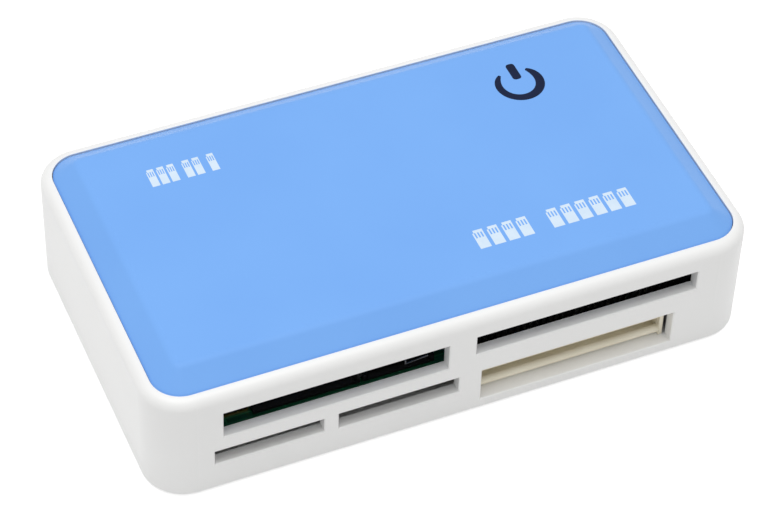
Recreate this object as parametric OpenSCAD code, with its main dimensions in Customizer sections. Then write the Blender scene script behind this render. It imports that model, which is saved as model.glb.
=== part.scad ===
// Desktop card reader with a built-in port hub.
// A white one-piece housing holds one circuit board with card sockets on both faces.
// The front wall has five card slots, and the back wall has three hub ports and a cord inlet.
// A blue cover with bevelled edges drops into the rim and is screwed on from below.
// X runs along the width, the slots face -Y, Z is up, and the feet stand on Z = 0.

/* [Housing] */
// Overall width, left to right
body_w = 115; // [114:0.5:120]
// Overall depth, front to back
body_d = 66.6; // [66:0.2:72]
// Height of the housing from its underside to its rim
housing_h = 23.6; // [23:0.1:26]
// Radius of the four upright corners
corner_r = 7.8; // [7:0.1:8.5]
// Thickness of the side walls
wall = 2.2; // [2.1:0.1:2.4]
// Thickness of the floor
floor_t = 2.2; // [2:0.1:2.4]
// Radius along the outside of the rim
rim_r = 2; // [1.2:0.1:2]
// Radius along the underside edge
underside_r = 0.4; // [0.2:0.1:0.6]
// Chamfer around the mouth of each slot
mouth_chamfer = 0.2; // [0.1:0.05:0.4]

/* [Cover] */
// Gap between the cover and the rim around it
cover_gap = 0.15; // [0.1:0.05:0.3]
// Thickness of the cover
cover_t = 1.8; // [1.5:0.1:2]
// Width of the sloping band around the raised panel
bevel_w = 4.3; // [3.5:0.1:4.6]
// Height of the raised panel above the rim
bevel_rise = 3; // [2:0.1:3.4]
// Radius along the top of the slope
crest_r = 2.5; // [1:0.1:3]
// Radius along the upper outer edge of the cover
cover_edge_r = 0.3; // [0.2:0.05:0.4]
// Width of the two hooks under the cover's front edge
hook_w = 5; // [4:0.5:6]
// How far the hooks reach below the cover
hook_h = 1.5; // [1.3:0.1:1.6]

/* [Case screws] */
// Distance from the outer faces to each screw, along X and Y
screw_inset = 6.8; // [6.6:0.1:7]
// Gap from the front posts to the end of the wide card's socket before them
post_gap = 1.2; // [1:0.1:1.5]
// Outside diameter of the screw bosses
boss_d = 6; // [5.8:0.1:6.2]
// Height of the bosses above the underside
boss_h = 6; // [5:0.1:7]
// Outside diameter of the cover's screw posts
post_d = 5.6; // [5.2:0.1:5.8]
// Diameter of the screw thread
case_screw_d = 2.2; // [2:0.1:2.4]
// Length of the screw under its head
case_screw_l = 9; // [7:0.5:10]
// Diameter of the screw head
case_head_d = 4.2; // [3.8:0.1:4.4]
// Height of the screw head
case_head_h = 1.5; // [1.2:0.1:1.7]
// How far the head is sunk below the underside
head_sink = 0.7; // [0.3:0.1:1]

/* [Feet] */
// Diameter of each foot
foot_d = 8; // [7:0.5:9]
// Height of each foot
foot_h = 1.2; // [1:0.1:1.5]
// Depth of the recess that holds a foot
foot_recess = 0.6; // [0.4:0.1:0.7]
// Distance between the left and right feet
foot_span_x = 78; // [72:1:80]
// Distance between the front and back feet
foot_span_y = 47; // [44:1:50]

/* [Circuit board] */
// Thickness of the board
board_t = 1.6; // [1.4:0.1:1.7]
// Height of the board's lower face above the housing's underside
board_z = 10.7; // [10.6:0.1:10.9]
// Distance from the board to the left and right walls
board_side_gap = 1.3; // [1.2:0.1:1.5]
// Distance from the board to the front wall
board_front_gap = 0.8; // [0.6:0.1:1]
// Distance from the board to the back wall
board_back_gap = 2; // [1.5:0.1:2.5]
// Gap between the board's corner notches and the posts
notch_gap = 0.7; // [0.5:0.1:1]
// Diameter of the board screws' thread
board_screw_d = 2; // [1.8:0.1:2.2]
// Length of a board screw under its head
board_screw_l = 6; // [5:0.5:7]
// Diameter of a board screw's head
board_head_d = 3.6; // [3.4:0.1:4]
// Height of a board screw's head
board_head_h = 1.3; // [1:0.1:1.5]
// Outside diameter of the pillars under the board
pillar_d = 5; // [4.6:0.1:5.4]

/* [Wide card] */
// Width of the wide card with two rows of sockets
wide_card_w = 42.8; // [42:0.1:43.5]
// Thickness of its slot
wide_slot_h = 4.4; // [4.2:0.1:4.6]
// Centre of its slot, right of the middle
wide_x = 24; // [23.8:0.1:24.2]
// Bottom of its slot above the housing's underside
wide_z = 14.6; // [14.4:0.1:14.8]
// Depth of its socket, from the housing's front face to the pin block
wide_depth = 31; // [28:0.5:32]
// Pitch of its pins
wide_pitch = 1.27; // [1.2:0.01:1.3]
// Number of pins in a row
wide_pins = 25; // [20:1:26]
// Length of the pins in front of their block
wide_pin_l = 6; // [4:0.5:7]

/* [Thin card] */
// Width of the thin card
thin_card_w = 37; // [36.6:0.1:37.2]
// Width of its slot
thin_slot_w = 37.8; // [37.6:0.1:38.2]
// Height of its slot
thin_slot_h = 7.6; // [7.4:0.1:7.7]
// Centre of its slot, right of the middle
thin_x = 22.7; // [22.4:0.1:23]
// How far the socket sits left of the slot's centre
thin_shift = 1.1; // [0.7:0.1:1.2]
// Distance from the housing's front face to the ivory socket
thin_front = 2.3; // [2.3:0.1:3]
// Height of the socket's lower jaw
thin_jaw_h = 2.3; // [2:0.1:2.6]
// Radius along the jaw's front edge
thin_nose_r = 1.2; // [0.8:0.1:1.3]
// Height of the slit that takes the card
thin_slit = 1.3; // [1.1:0.1:1.5]
// Depth of the socket
thin_depth = 26; // [22:0.5:30]

/* [Main card] */
// Width of the main card
main_card_w = 24; // [23.6:0.1:24.2]
// Thickness of the main card
main_card_t = 2.1; // [2:0.1:2.2]
// Centre of the main card, right of the middle
main_x = -31.5; // [-31.8:0.1:-31.3]
// Depth of its socket
main_depth = 28; // [26:0.5:30]

/* [Micro card] */
// Width of the micro card
micro_card_w = 11; // [10.8:0.1:11.2]
// Thickness of the micro card
micro_card_t = 0.7; // [0.6:0.05:0.8]
// Centre of the micro card, right of the middle
micro_x = -10.9; // [-11.2:0.1:-10.7]
// Depth of its socket
micro_depth = 15; // [13:0.5:17]

/* [Upper left slot] */
// Height of the slot shared by the main card and the micro card
upper_slot_h = 6; // [5.8:0.1:6.2]
// Bottom of that slot above the housing's underside
upper_slot_z = 12.85; // [12.7:0.05:13]
// Distance from the main card to the slot's left end
upper_left_margin = 1.35; // [1:0.05:1.5]
// Distance from the micro card to the slot's right end
upper_right_margin = 2.6; // [2:0.1:2.8]

/* [Small card] */
// Width of the small card
small_card_w = 20; // [19.6:0.1:20.2]
// Thickness of the small card
small_card_t = 1.7; // [1.6:0.1:1.8]
// Height of its slot
small_slot_h = 3.3; // [3.1:0.1:3.5]
// Centre of its slot, right of the middle
small_x = -36.4; // [-36.6:0.1:-36.2]
// Bottom of its slot above the housing's underside
small_z = 6.2; // [6:0.1:6.4]
// Depth of its socket
small_depth = 21; // [19:0.5:23]

/* [Stick card] */
// Width of the stick card
stick_card_w = 21.6; // [21.2:0.1:21.8]
// Thickness of the stick card
stick_card_t = 2.8; // [2.6:0.1:2.9]
// Height of its slot
stick_slot_h = 3.8; // [3.6:0.1:3.9]
// Play at each side of the stick card in its slot
stick_play = 0.65; // [0.4:0.05:0.7]
// Centre of its slot, right of the middle
stick_x = -12.05; // [-12.2:0.05:-11.9]
// Bottom of its slot above the housing's underside
stick_z = 5.9; // [5.8:0.1:6]
// Depth of its socket
stick_depth = 31; // [28:0.5:33]

/* [Socket fits] */
// Gap at each side between a card and its slot or socket
card_gap = 0.15; // [0.1:0.05:0.25]
// Gap from the front of the sockets to the housing's front wall
socket_gap = 1.2; // [1:0.1:1.4]
// Thickness of the side rails of the sockets
rail_t = 1.1; // [1:0.1:1.2]
// Thickness of the back walls of the sockets
back_t = 1.6; // [1.4:0.1:2]
// Thickness of the sheet metal shields
shield_t = 0.2; // [0.15:0.05:0.3]
// Gap around the metal contacts where they pass through plastic
contact_gap = 0.06; // [0.05:0.01:0.1]

/* [Hub ports] */
// Outside width of a port's metal shell
port_w = 13.1; // [13:0.1:13.4]
// Outside height of a port's metal shell
port_h = 5.7; // [5.6:0.1:5.8]
// Depth of a port's metal shell
port_depth = 14; // [13:0.5:15]
// Sheet thickness of the metal shells
port_sheet = 0.3; // [0.25:0.05:0.35]
// Distance from one port to the next
port_pitch = 20; // [18:0.5:21]
// Centre of the middle port, right of the middle
port_x = -12; // [-13:0.5:-11]
// Gap between a shell and the housing's opening
port_gap = 0.3; // [0.2:0.05:0.4]
// How far the shells stop short of the housing's back face
port_recess = 0.2; // [0:0.1:0.5]

/* [Cord inlet] */
// Outside width of the inlet's metal shell
inlet_w = 7.7; // [7.5:0.1:7.9]
// Outside height of the inlet's metal shell
inlet_h = 3.9; // [3.8:0.1:4.1]
// Depth of the inlet's metal shell
inlet_depth = 9.2; // [8.5:0.1:10]
// Centre of the inlet, right of the middle
inlet_x = 30; // [28:0.5:32]

/* [Chips] */
// Side of the large chip's body
reader_side = 10; // [9:0.5:12]
// Side of the small chip's body
hub_side = 7; // [6:0.5:8]
// Thickness of the chip bodies
chip_t = 1.4; // [1:0.1:1.6]
// Pitch of the chips' leads
lead_pitch = 0.8; // [0.65:0.05:1]

/* [Hidden] */
$fn = 48;

white_abs = [0.9, 0.9, 0.89];
blue_abs = [0.5, 0.7, 0.96];
black_nylon = [0.08, 0.08, 0.09];
ivory_nylon = [0.8, 0.78, 0.7];
board_green = [0.05, 0.33, 0.2];
tin = [0.75, 0.76, 0.78];
gold = [0.83, 0.68, 0.3];

// A cut goes this far past the face that it opens
past = 1;
// Height of the housing's underside above the surface that the feet stand on
base_z = foot_h - foot_recess;
floor_z = base_z + floor_t;
rim_z = base_z + housing_h;
inner_w = body_w - 2 * wall;
inner_d = body_d - 2 * wall;
front_y = -body_d / 2;
back_y = body_d / 2;
inner_front_y = front_y + wall;
inner_back_y = back_y - wall;
boss_top_z = base_z + boss_h;
seat_z = base_z + head_sink + case_head_h;
head_gap = 0.2;

// Screws into the cover's posts: two at the back corners, and two behind the card sockets
wide_block_t = 4.5;
wide_end_y = front_y + wide_depth + wide_block_t;
screw_x = body_w / 2 - screw_inset;
screw_back_y = body_d / 2 - screw_inset;
screw_front_y = wide_end_y + post_gap + post_d / 2;
screw_places = [for (x = [-1, 1], y = [screw_front_y, screw_back_y]) [x * screw_x, y]];

// Cover, from the sizes of the rim that it drops into
cover_w = inner_w - 2 * cover_gap;
cover_d = inner_d - 2 * cover_gap;
cover_r = corner_r - wall - cover_gap;
cover_under_z = rim_z - cover_t;
panel_z = rim_z + bevel_rise;
thread_gap = 0.05;
pilot_l = seat_z + case_screw_l + 1 - boss_top_z;
bevel_angle = atan2(bevel_rise, bevel_w - cover_edge_r);
panel_lap = 0.4;
crest_fit = min(crest_r, (cover_r - bevel_w - panel_lap) / tan(bevel_angle / 2));
crest_x = -bevel_w - crest_fit * tan(bevel_angle / 2);

// Hooks that catch in pockets of the front wall
hook_t = 1;
hook_nib = 0.5;
hook_shoulder = 0.6;
hook_x = body_w / 2 - corner_r - hook_w / 2 - 1;
pocket_gap = 0.2;

// Board faces and edges
board_bottom_z = base_z + board_z;
board_top_z = board_bottom_z + board_t;
board_w = inner_w - 2 * board_side_gap;
board_front_y = inner_front_y + board_front_gap;
board_back_y = inner_back_y - board_back_gap;
board_corner_r = corner_r - wall - board_side_gap;
notch_r = post_d / 2 + notch_gap;
port_mouth_y = back_y - port_recess;
port_end_y = port_mouth_y - port_depth;
port_centres = [port_x - port_pitch, port_x, port_x + port_pitch];

// Pins of the wide card's socket end here, behind their block
pin_side = 0.5;
pin_set = 0.5;
pin_row_step = 1.3;
wide_tail_y = wide_end_y + pin_set + pin_row_step + pin_side;

// Pillars that carry the board: two between the side posts, and one before the right port
pillar_inset = 3.6;
pillar_shift = 2;
side_pillar_y = (screw_front_y + screw_back_y) / 2;
pillars = [[-board_w / 2 + pillar_inset, side_pillar_y], [board_w / 2 - pillar_inset, side_pillar_y],
    [port_centres[2] - pillar_shift, (wide_tail_y + port_end_y) / 2]];

// Ribs on the side walls, whose lower part carries the board's edges
rib_y = 14;
rib_w = 1.2;
rib_gap = 0.3;
ledge_lap = 0.4;
socket_y = inner_front_y + socket_gap;

// Slots in the front wall: centre X, bottom Z, width and height
wide_slot = [wide_x, base_z + wide_z, wide_card_w + 2 * card_gap, wide_slot_h];
thin_slot = [thin_x, floor_z, thin_slot_w, thin_slot_h];
upper_x0 = main_x - main_card_w / 2 - upper_left_margin;
upper_x1 = micro_x + micro_card_w / 2 + upper_right_margin;
upper_slot = [(upper_x0 + upper_x1) / 2, base_z + upper_slot_z, upper_x1 - upper_x0, upper_slot_h];
small_slot = [small_x, base_z + small_z, small_card_w + 2 * card_gap, small_slot_h];
stick_slot = [stick_x, base_z + stick_z, stick_card_w + 2 * stick_play, stick_slot_h];
front_slots = [wide_slot, thin_slot, upper_slot, small_slot, stick_slot];

// Main and micro card sockets stand on the board, with their card just above the slot's edge
card_lift = 0.3;
main_base_t = base_z + upper_slot_z + card_lift - board_top_z;
main_bay_w = main_card_w + 2 * card_gap;
main_rail_h = main_base_t + main_card_t + card_gap;
micro_base_t = base_z + upper_slot_z + 0.1 - board_top_z;
micro_bay_w = micro_card_w + 2 * card_gap;
micro_rail_h = micro_base_t + micro_card_t + card_gap;

// Stick and small card sockets hang under the board
small_bay_w = small_card_w + 2 * card_gap;
small_base_t = board_bottom_z - (base_z + small_z + small_slot_h) + card_lift;
small_rail_h = small_base_t + small_card_t + card_gap;
stick_bay_w = stick_card_w + 2 * card_gap;
stick_base_t = board_bottom_z - (base_z + stick_z + stick_slot_h) + 0.2;
stick_rail_h = stick_base_t + stick_card_t + card_gap;

// Contact springs
spring_w = 0.6;
spring_t = 0.2;
spring_rise = 0.5;
contact_tail = 1;
contact_heel = 2;
spring_run = 3;
spring_flat = 1;
spring_dip = 1;
main_count = 9;
main_pitch = 2.5;
micro_count = 8;
micro_pitch = 1.1;
small_count = 18;
small_pitch = 1;
stick_count = 10;
stick_pitch = 2;
thin_count = 11;
thin_pitch = 2.54;
thin_contact_w = 1.4;
thin_contact_l = 12;

// Lips that hold a card in the sockets that have no shield, and the slope of their mouths
lip_w = 0.8;
lip_t = 0.6;
lead_in = 0.3;

// Shields stop short of the board, and their spring fingers lie in slits
shield_lift = 0.4;
finger_w = 1.6;
finger_slit = 0.4;
main_shield_set = 3;
micro_shield_set = 0.8;

// Lever of the micro card's switch: a wire in front of the shield, with a raised end
lever_x0 = 1;
lever_x1 = 5.4;
lever_w = 0.25;
lever_out = 0.05;
lever_rise = 0.5;
lever_h = 1;

// Corner cut from the main card's socket, at its left front
main_notch_w = 6.6;
main_notch_d = 1.8;

// Lead of the main card's switch, which lies in that corner and stands up at its end
lead_w = 0.25;
lead_l = 4.8;
lead_h = 1.3;
lead_side = 1.3;

// Wide card's tray, rails and pin block
wide_tray_h = base_z + wide_z - 0.05 - board_top_z;
wide_tray_t = 1.2;
wide_rail_h = wide_tray_h + wide_slot_h + 0.1 + lip_t;
wide_foot_t = 1.2;
comb_w = 0.55;
comb_d = 0.5;
wide_window = [10, 5.5, 13.5];

// Ivory socket's cheeks, mouth, jaws and legs
thin_cheek = 0.75;
thin_mouth_d = 3.5;
thin_under = 1.3;
thin_over = 1.6;
thin_groove_w = 1.5;
thin_groove_d = 0.8;
thin_setback = 0.8;
thin_leg = 3;
thin_leg_inset = 4;
stand_gap = 0.1;
thin_tail_gap = 0.8;

// Hub ports and inlet stand on the board
core_t = 1.8;
core_side_gap = 0.6;
core_w = port_w - 2 * (port_sheet + core_side_gap);
core_lift = 0.2;
core_z = board_top_z + port_h / 2 + core_lift;
core_block_t = 3;
core_set = 0.8;
core_gap = 0.05;
port_bend_r = 0.6;
port_contact_pitch = 2.3;
port_contact_w = 1;
port_window = [2.4, 5];
port_finger_w = 1.6;
port_finger_y = 5.2;
inlet_tongue_w = 4.6;
inlet_tongue_t = 0.7;
inlet_tongue_z = 1.7;
inlet_slope_h = 1.6;
inlet_slope_w = 1.1;
inlet_block_t = 2.4;
inlet_contact_pitch = 0.8;
inlet_contact_w = 0.4;
inlet_contact_t = 0.15;

// Chips lie halfway between the sockets' ends and the ports
lead_out = 1.1;
main_end_y = socket_y + main_depth + contact_tail;
micro_end_y = socket_y + micro_depth + contact_tail;
reader_reach = reader_side / 2 + lead_out;
hub_reach = hub_side / 2 + lead_out;
reader_at = [main_x + 7.5, (main_end_y + port_end_y) / 2];
hub_at = [(port_centres[2] + port_w / 2 + inlet_x - inlet_w / 2) / 2, wide_tail_y + 1.9 + hub_reach];

// Small parts: their sizes, and their places beside the chips
crystal_size = [11.4, 4.7, 3.4];
crystal_at = [reader_at[0] + reader_reach + 7.6 + crystal_size[0] / 2, reader_at[1]];
can_d = 5;
can_h = 5.4;
can_pitch = 8;
can_places = [for (i = [0, 1]) [micro_x + 1.9, micro_end_y + 1.4 + can_d / 2 + i * can_pitch]];
regulator_size = [6.5, 3.5, 1.6];
regulator_leg = [0.7, 1.8, 0.25];
regulator_at = [wide_x + 14.5, wide_tail_y + 1.5 + regulator_size[1]];
lamp_size = [3.2, 1.6, 0.6];
lamp_h = 0.9;
lamp_inset = [24.7, 17.5];
lamp_at = [body_w / 2 - lamp_inset[0], body_d / 2 - lamp_inset[1]];
capacitor_size = [2, 1.25, 0.9];
resistor_size = [1.6, 0.8, 0.5];
capacitor_places = concat(
    [for (i = [0 : 2])
        [(port_centres[0] + port_centres[1]) / 2, reader_at[1] + reader_reach + 1.6 + 2.2 * i]],
    [for (i = [-1.5 : 1.5]) [reader_at[0] + reader_reach + 5.3, reader_at[1] + 3 * i]],
    [for (i = [-1 : 1]) [hub_at[0] + 3 * i, hub_at[1] + hub_reach + 1.9]]);
resistor_places = concat(
    [for (side = [-1, 1], i = [-2 : 2]) [reader_at[0] + side * (reader_reach + 1.6), reader_at[1] + 2 * i]],
    [for (i = [-2 : 0]) [hub_at[0] - hub_reach - 2.5, hub_at[1] + 2 * i]]);

// Centres of the wide card's pins
function pin_x(i) = wide_x + (i - (wide_pins - 1) / 2) * wide_pitch;
function pin_z(row) = base_z + wide_z + 1.4 + row * wide_pitch;

// Plain slab with four round corners
module rounded_slab(w, d, r, h) {
    linear_extrude(h) {
        square([w - 2 * r, d], center = true);
        square([w, d - 2 * r], center = true);
        for (x = [-1, 1], y = [-1, 1])
            translate([x * (w / 2 - r), y * (d / 2 - r)]) circle(r);
    }
}

// Carries an edge profile round a rounded rectangle.
// The profile is drawn with X = 0 on the outer face and Y up, and lies at X < 0.
module around(w, d, r) {
    for (side = [0, 180]) {
        rotate([0, 0, side]) {
            translate([w / 2, 0, 0]) rotate([90, 0, 0])
                linear_extrude(d - 2 * r, center = true) children();
            translate([0, d / 2, 0]) rotate([90, 0, 90])
                linear_extrude(w - 2 * r, center = true) children();
        }
    }
    for (corner = [0 : 3]) {
        flip = corner % 2;
        sx = (corner == 0 || corner == 3) ? 1 : -1;
        sy = corner < 2 ? 1 : -1;
        translate([sx * (w / 2 - r), sy * (d / 2 - r), 0])
            rotate([0, 0, corner * 90])
            rotate_extrude(angle = 90, $fn = 96) translate([r, 0]) children();
    }
}

// Section of the housing wall, with a rounded rim and a small radius underneath
module wall_section() {
    translate([-wall, underside_r]) square([wall, housing_h - rim_r - underside_r]);
    translate([-wall, 0]) square([wall - underside_r, underside_r]);
    translate([-underside_r, underside_r]) circle(underside_r);
    translate([-wall, housing_h - rim_r]) square([wall - rim_r, rim_r]);
    intersection() {
        translate([-rim_r, housing_h - rim_r]) circle(rim_r);
        translate([-rim_r, housing_h - rim_r]) square(rim_r);
    }
}

// Rectangular mouth with a chamfer on its outer edge, cut through the front wall
module slot_cut(slot) {
    w = slot[2];
    h = slot[3];
    c = mouth_chamfer;
    translate([slot[0], front_y, slot[1]]) {
        translate([-w / 2, -past, 0]) cube([w, wall + 2 * past, h]);
        intersection() {
            rotate([90, 0, 90]) linear_extrude(w + 4 * c, center = true)
                polygon([[-c, -2 * c], [-c, h + 2 * c], [c, h], [c, 0]]);
            linear_extrude(3 * h, center = true)
                polygon([[-w / 2 - 2 * c, -c], [w / 2 + 2 * c, -c], [w / 2, c], [-w / 2, c]]);
        }
    }
}

// Mini inlet's outline, narrower at the bottom, grown on all sides by a gap
module inlet_outline(grow) {
    w = inlet_w / 2 + grow;
    foot = w - inlet_slope_w;
    polygon([[-w, inlet_h + grow], [w, inlet_h + grow], [w, inlet_slope_h], [foot, -grow],
        [-foot, -grow], [-w, inlet_slope_h]]);
}

module housing() {
    rib_d = board_side_gap - rib_gap;
    rib_h = cover_under_z - floor_z;
    ledge_d = board_side_gap + ledge_lap;
    ledge_h = board_bottom_z - floor_z;
    color(white_abs) difference() {
        union() {
            translate([0, 0, base_z]) around(body_w, body_d, corner_r) wall_section();
            translate([0, 0, base_z])
                rounded_slab(body_w - wall, body_d - wall, corner_r - wall / 2, floor_t);
            for (p = screw_places)
                translate([p[0], p[1], base_z + floor_t / 2])
                    cylinder(d = boss_d, h = boss_h - floor_t / 2);
            for (p = pillars)
                translate([p[0], p[1], base_z + floor_t / 2])
                    cylinder(d = pillar_d, h = board_z - floor_t / 2);
            for (x = [-1, 1], y = [-1, 1] * rib_y) {
                translate([x * (inner_w / 2 - rib_d / 2 + wall / 4), y, floor_z + rib_h / 2])
                    cube([rib_d + wall / 2, rib_w, rib_h], center = true);
                translate([x * (inner_w / 2 - ledge_d / 2 + wall / 4), y, floor_z + ledge_h / 2])
                    cube([ledge_d + wall / 2, rib_w, ledge_h], center = true);
            }
        }
        for (slot = front_slots) slot_cut(slot);
        for (x = port_centres)
            translate([x - port_w / 2 - port_gap, inner_back_y - past, board_top_z - port_gap])
                cube([port_w + 2 * port_gap, wall + 2 * past, port_h + 2 * port_gap]);
        translate([inlet_x, back_y + past, board_top_z]) rotate([90, 0, 0])
            linear_extrude(wall + 2 * past) inlet_outline(port_gap);
        for (p = screw_places) translate([p[0], p[1], base_z - past]) {
            cylinder(d = case_head_d + 2 * head_gap, h = seat_z - base_z + past);
            cylinder(d = case_screw_d + 2 * head_gap, h = boss_h + 2 * past);
        }
        for (x = [-1, 1], y = [-1, 1])
            translate([x * foot_span_x / 2, y * foot_span_y / 2, base_z - past])
                cylinder(d = foot_d + head_gap, h = foot_recess + past);
        for (p = pillars)
            translate([p[0], p[1], board_top_z - board_screw_l - 0.5])
                cylinder(d = board_screw_d + 2 * thread_gap, h = board_screw_l + past);
        for (x = [-1, 1])
            translate([x * hook_x - hook_w / 2 - pocket_gap, inner_front_y - hook_nib - cover_gap / 2,
                cover_under_z - hook_h - pocket_gap])
                cube([hook_w + 2 * pocket_gap, hook_nib + past, hook_h - hook_shoulder + 2 * pocket_gap]);
    }
}

// Cover's section from its outer edge inwards: flange, slope and rounded crest.
// The shell follows the slope underneath, and the solid one is for trimming the posts.
module bevel_section(solid) {
    crest = [for (i = [0 : 6]) let (a = 90 - bevel_angle * (1 - i / 6))
        [crest_x + crest_fit * cos(a), bevel_rise - crest_fit + crest_fit * sin(a)]];
    inner = panel_lap / 2 - cover_r;
    under = solid ? [[inner, -cover_t]]
        : [[inner, bevel_rise - cover_t], [-bevel_w - 0.5, bevel_rise - cover_t], [-cover_t, -cover_t]];
    polygon(concat(under, [[0, -cover_t], [0, -cover_edge_r], [-cover_edge_r, 0]],
        crest, [[inner, bevel_rise]]));
}

// The cover without its posts, hollow or solid
module cover_form(solid) {
    panel_t = solid ? cover_t + bevel_rise : cover_t;
    translate([0, 0, rim_z]) around(cover_w, cover_d, cover_r) bevel_section(solid);
    inset = cover_r - panel_lap;
    translate([inset - cover_w / 2, inset - cover_d / 2, panel_z - panel_t])
        cube([cover_w - 2 * inset, cover_d - 2 * inset, panel_t]);
}

module top_cover() {
    color(blue_abs) difference() {
        union() {
            cover_form(false);
            intersection() {
                cover_form(true);
                for (p = screw_places)
                    translate([p[0], p[1], cover_under_z])
                        cylinder(d = post_d, h = cover_t + bevel_rise + past);
            }
            for (p = screw_places)
                translate([p[0], p[1], boss_top_z])
                    cylinder(d = post_d, h = cover_under_z - boss_top_z + cover_t / 2);
            for (x = [-1, 1]) translate([x * hook_x, -cover_d / 2, cover_under_z]) cover_hook();
        }
        for (p = screw_places)
            translate([p[0], p[1], boss_top_z - past])
                cylinder(d = case_screw_d + 2 * thread_gap, h = pilot_l + past);
    }
}

// Hook that hangs from the cover, with a nib that points to the front wall
module cover_hook() {
    rotate([90, 0, 90]) linear_extrude(hook_w, center = true)
        polygon([[0, cover_t / 2], [hook_t, cover_t / 2], [hook_t, -hook_h], [0, -hook_h],
            [-hook_nib, hook_nib - hook_h], [-hook_nib, -hook_shoulder], [0, -hook_shoulder]]);
}

// Self-tapping screw with a round head and a cross, pointing up from its head's seat
module screw(d, l, head_d, head_h) {
    cross_w = head_d / 6;
    difference() {
        union() {
            cylinder(d = d, h = l - d / 2);
            translate([0, 0, l - d / 2]) cylinder(d1 = d, d2 = d / 5, h = d / 2);
            rotate_extrude() intersection() {
                translate([0, head_d * 0.75 - head_h]) circle(head_d * 0.75);
                translate([0, -head_h]) square([head_d / 2, head_h]);
            }
        }
        for (turn = [0, 90]) rotate([0, 0, turn])
            translate([-head_d / 3.4, -cross_w / 2, -head_h - past])
                cube([head_d / 1.7, cross_w, head_h / 2 + past]);
    }
}

module case_screws() {
    color(tin) for (p = screw_places)
        translate([p[0], p[1], seat_z]) screw(case_screw_d, case_screw_l, case_head_d, case_head_h);
}

module rubber_feet() {
    edge = 0.4;
    color("dimgray") for (x = [-1, 1], y = [-1, 1])
        translate([x * foot_span_x / 2, y * foot_span_y / 2, 0]) rotate_extrude() {
            square([foot_d / 2 - edge, foot_h]);
            translate([0, edge]) square([foot_d / 2, foot_h - edge]);
            translate([foot_d / 2 - edge, edge]) circle(edge);
        }
}

module main_board() {
    board_d = board_back_y - board_front_y;
    color(board_green) difference() {
        translate([0, board_front_y + board_d / 2, board_bottom_z])
            rounded_slab(board_w, board_d, board_corner_r, board_t);
        for (p = screw_places) translate([p[0], p[1], board_bottom_z - past]) {
            cylinder(r = notch_r, h = board_t + 2 * past);
            translate([p[0] > 0 ? 0 : -screw_inset, -notch_r, 0])
                cube([screw_inset, 2 * notch_r, board_t + 2 * past]);
            if (p[1] == screw_back_y) translate([p[0] > 0 ? -notch_r : -screw_inset, 0, 0])
                cube([screw_inset + notch_r, screw_inset, board_t + 2 * past]);
        }
        for (p = pillars)
            translate([p[0], p[1], board_bottom_z - past])
                cylinder(d = board_screw_d + 2 * head_gap, h = board_t + 2 * past);
    }
}

module board_screws() {
    color(tin) for (p = pillars)
        translate([p[0], p[1], board_top_z]) rotate([180, 0, 0])
            screw(board_screw_d, board_screw_l, board_head_d, board_head_h);
}

// Side view of a contact spring that lies on the board and rises through a socket's base.
// Y = 0 is the socket's front, and Z = 0 is the board.
module contact(depth, base_t, w) {
    foot = depth - back_t - contact_heel;
    crest = foot - spring_run;
    dip = crest - spring_flat;
    tip = dip - spring_dip;
    tail = depth + contact_tail;
    top = base_t + spring_rise;
    rotate([90, 0, 90]) linear_extrude(w, center = true) polygon([
        [tail, 0], [tail, spring_t], [foot, spring_t], [crest, top + spring_t], [dip, top + spring_t],
        [tip, base_t + spring_t], [tip, base_t], [dip, top], [crest, top], [foot, 0]]);
}

module contact_row(depth, base_t, count, pitch) {
    for (i = [0 : count - 1])
        translate([(i - (count - 1) / 2) * pitch, 0, 0]) contact(depth, base_t, spring_w);
}

// Grooves that a row of contacts lies in, through a socket's base and under its back wall
module contact_grooves(depth, base_t, count, pitch) {
    w = spring_w + 2 * contact_gap;
    first = depth - back_t - contact_heel - spring_run - spring_flat - spring_dip - rib_gap;
    for (i = [0 : count - 1])
        translate([(i - (count - 1) / 2) * pitch - w / 2, 0, -past]) {
            translate([0, first, 0]) cube([w, depth - back_t - first, base_t + 2 * past]);
            translate([0, depth - back_t - past, 0])
                cube([w, back_t + 2 * past, spring_t + contact_gap + past]);
        }
}

// Card socket with a base, two side rails whose mouths flare, and a back wall.
// Where there is no shield, lips on the rails hold the card down.
module card_socket(bay_w, base_t, rail_h, depth, count, pitch, lip) {
    inner = bay_w / 2;
    outer = inner + rail_t;
    flare = rail_t / 2;
    difference() {
        union() {
            linear_extrude(base_t) translate([-outer, 0]) square([2 * outer, depth]);
            linear_extrude(rail_h) polygon([[-outer, 0], [-outer, depth], [outer, depth], [outer, 0],
                [inner + flare, 0], [inner, 2 * flare], [inner, depth - back_t],
                [-inner, depth - back_t], [-inner, 2 * flare], [-inner - flare, 0]]);
            if (lip > 0) for (side = [-1, 1])
                translate([side * (outer - (rail_t + lip) / 2), depth / 2 + flare, rail_h + lip_t / 2])
                    cube([rail_t + lip, depth - 2 * flare, lip_t], center = true);
        }
        translate([0, 0, base_t]) rotate([90, 0, 90]) linear_extrude(bay_w, center = true)
            polygon([[-past, -lead_in - past / 3], [-past, past], [3 * lead_in, past], [3 * lead_in, 0]]);
        contact_grooves(depth, base_t, count, pitch);
    }
}

// Folded sheet metal lid over a socket, with two spring fingers cut in its top
module shield(bay_w, rail_h, depth, front, finger_l) {
    outer = bay_w / 2 + rail_t;
    difference() {
        translate([0, front, 0]) rotate([90, 0, 180]) linear_extrude(depth - front) difference() {
            translate([-outer - shield_t, shield_lift])
                square([2 * (outer + shield_t), rail_h - shield_lift + shield_t]);
            translate([-outer, 0]) square([2 * outer, rail_h]);
        }
        for (side = [-1, 1])
            translate([side * bay_w / 4, front + (depth - front) / 2, rail_h]) difference() {
                cube([finger_w + 2 * finger_slit, finger_l + finger_slit, 3 * shield_t], center = true);
                translate([0, finger_slit, 0]) cube([finger_w, finger_l, 4 * shield_t], center = true);
            }
    }
}

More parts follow.
